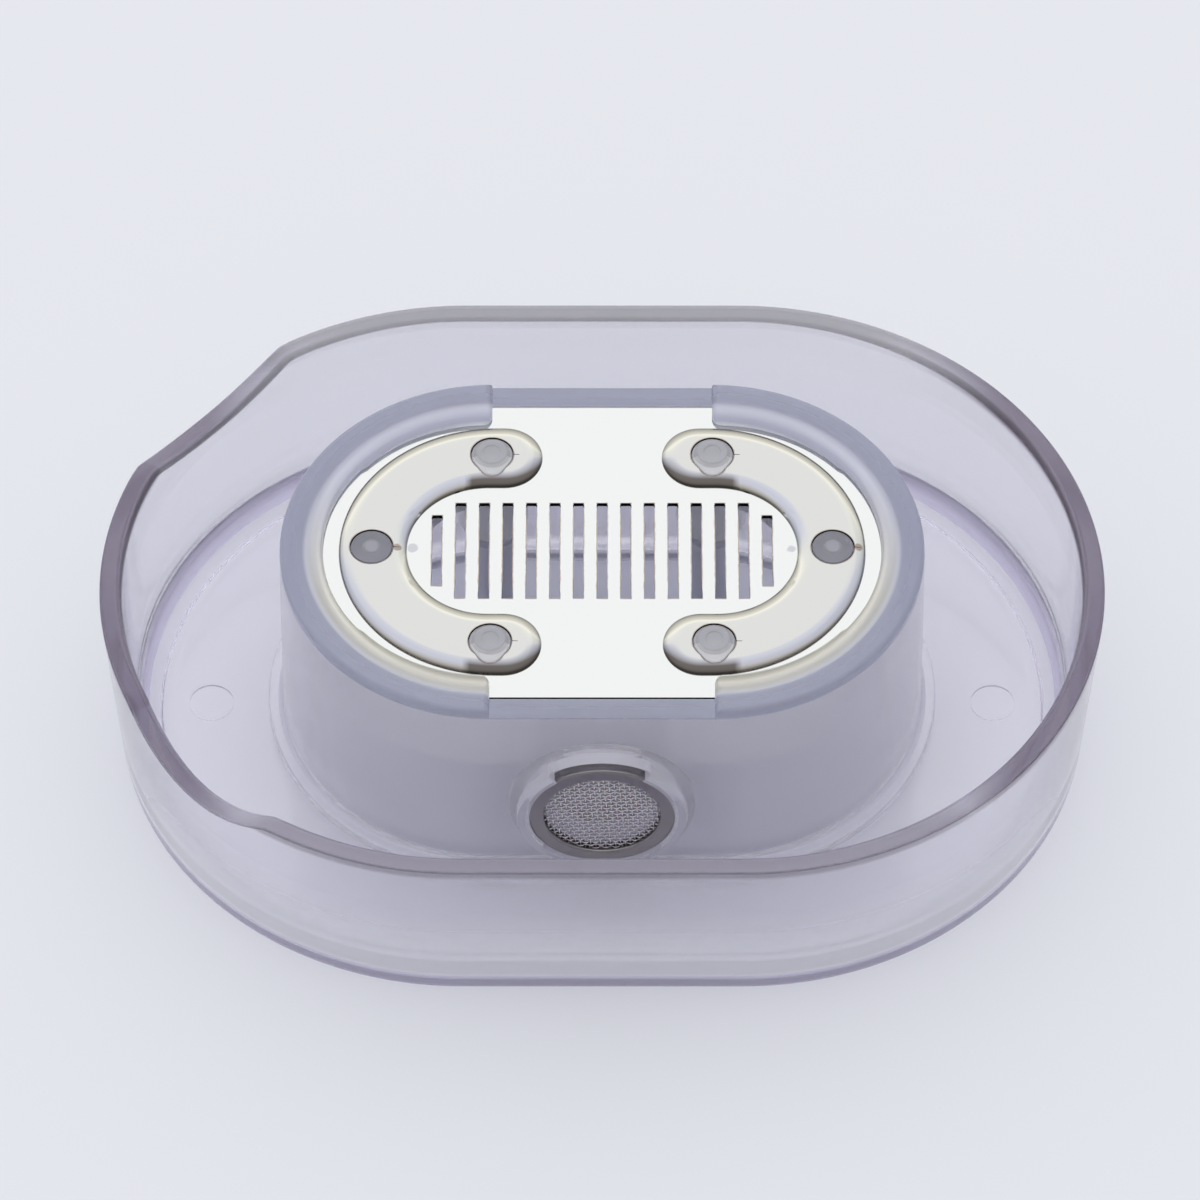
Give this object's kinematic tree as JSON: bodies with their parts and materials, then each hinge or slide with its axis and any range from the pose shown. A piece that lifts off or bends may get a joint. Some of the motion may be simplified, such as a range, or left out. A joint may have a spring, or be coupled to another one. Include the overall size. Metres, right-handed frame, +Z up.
{
  "type": "razor rinser",
  "caption": "Clear racetrack basin with a hand pump in its middle: pressing a slotted steel plate drives water up through the slots; a round filter feeds the pump from the basin.",
  "frame": {"origin": "on the table under the middle of the basin", "axes": "+X along the basin's length towards the end without pour dips, -Y towards the filter at the front, +Z up"},
  "size_m": [0.1294, 0.0946, 0.0349],
  "materials": {
    "clear_plastic": "clear moulded plastic with a faint lavender tint, soft gloss",
    "milky_plastic": "translucent moulded plastic, satin",
    "polished_stainless": "mirror polished stainless sheet",
    "filter_steel": "satin pressed stainless",
    "wire_cloth": "woven stainless wire",
    "spring_wire": "drawn stainless wire",
    "silicone": "soft translucent silicone, matt"
  },
  "bodies": {
    "stand": {"basin": "clear_plastic", "pump_housing": "clear_plastic", "filter_ring": "filter_steel", "filter_mesh": "wire_cloth", "return_spring_front_left": "spring_wire", "return_spring_front_right": "spring_wire", "return_spring_rear_left": "spring_wire", "return_spring_rear_right": "spring_wire"},
    "press": {"rinse_plate": "polished_stainless", "plunger": "milky_plastic"},
    "flap": {"inlet_flap": "silicone"}
  },
  "joints": [
    {"name": "plate_press", "type": "slide", "parent": "stand", "child": "press", "axis": [0, 0, -1], "range_m": [0, 0.0065], "stiffness_N_per_m": 900, "springref_m": -0.004, "deforming": ["return_spring_front_left", "return_spring_front_right", "return_spring_rear_left", "return_spring_rear_right"]},
    {"name": "inlet_flap_swing", "type": "hinge", "parent": "stand", "child": "flap", "pos_m": [0, -0.0249, 0.0229], "axis": [1, 0, 0], "range_deg": [0, 30]}
  ]
}
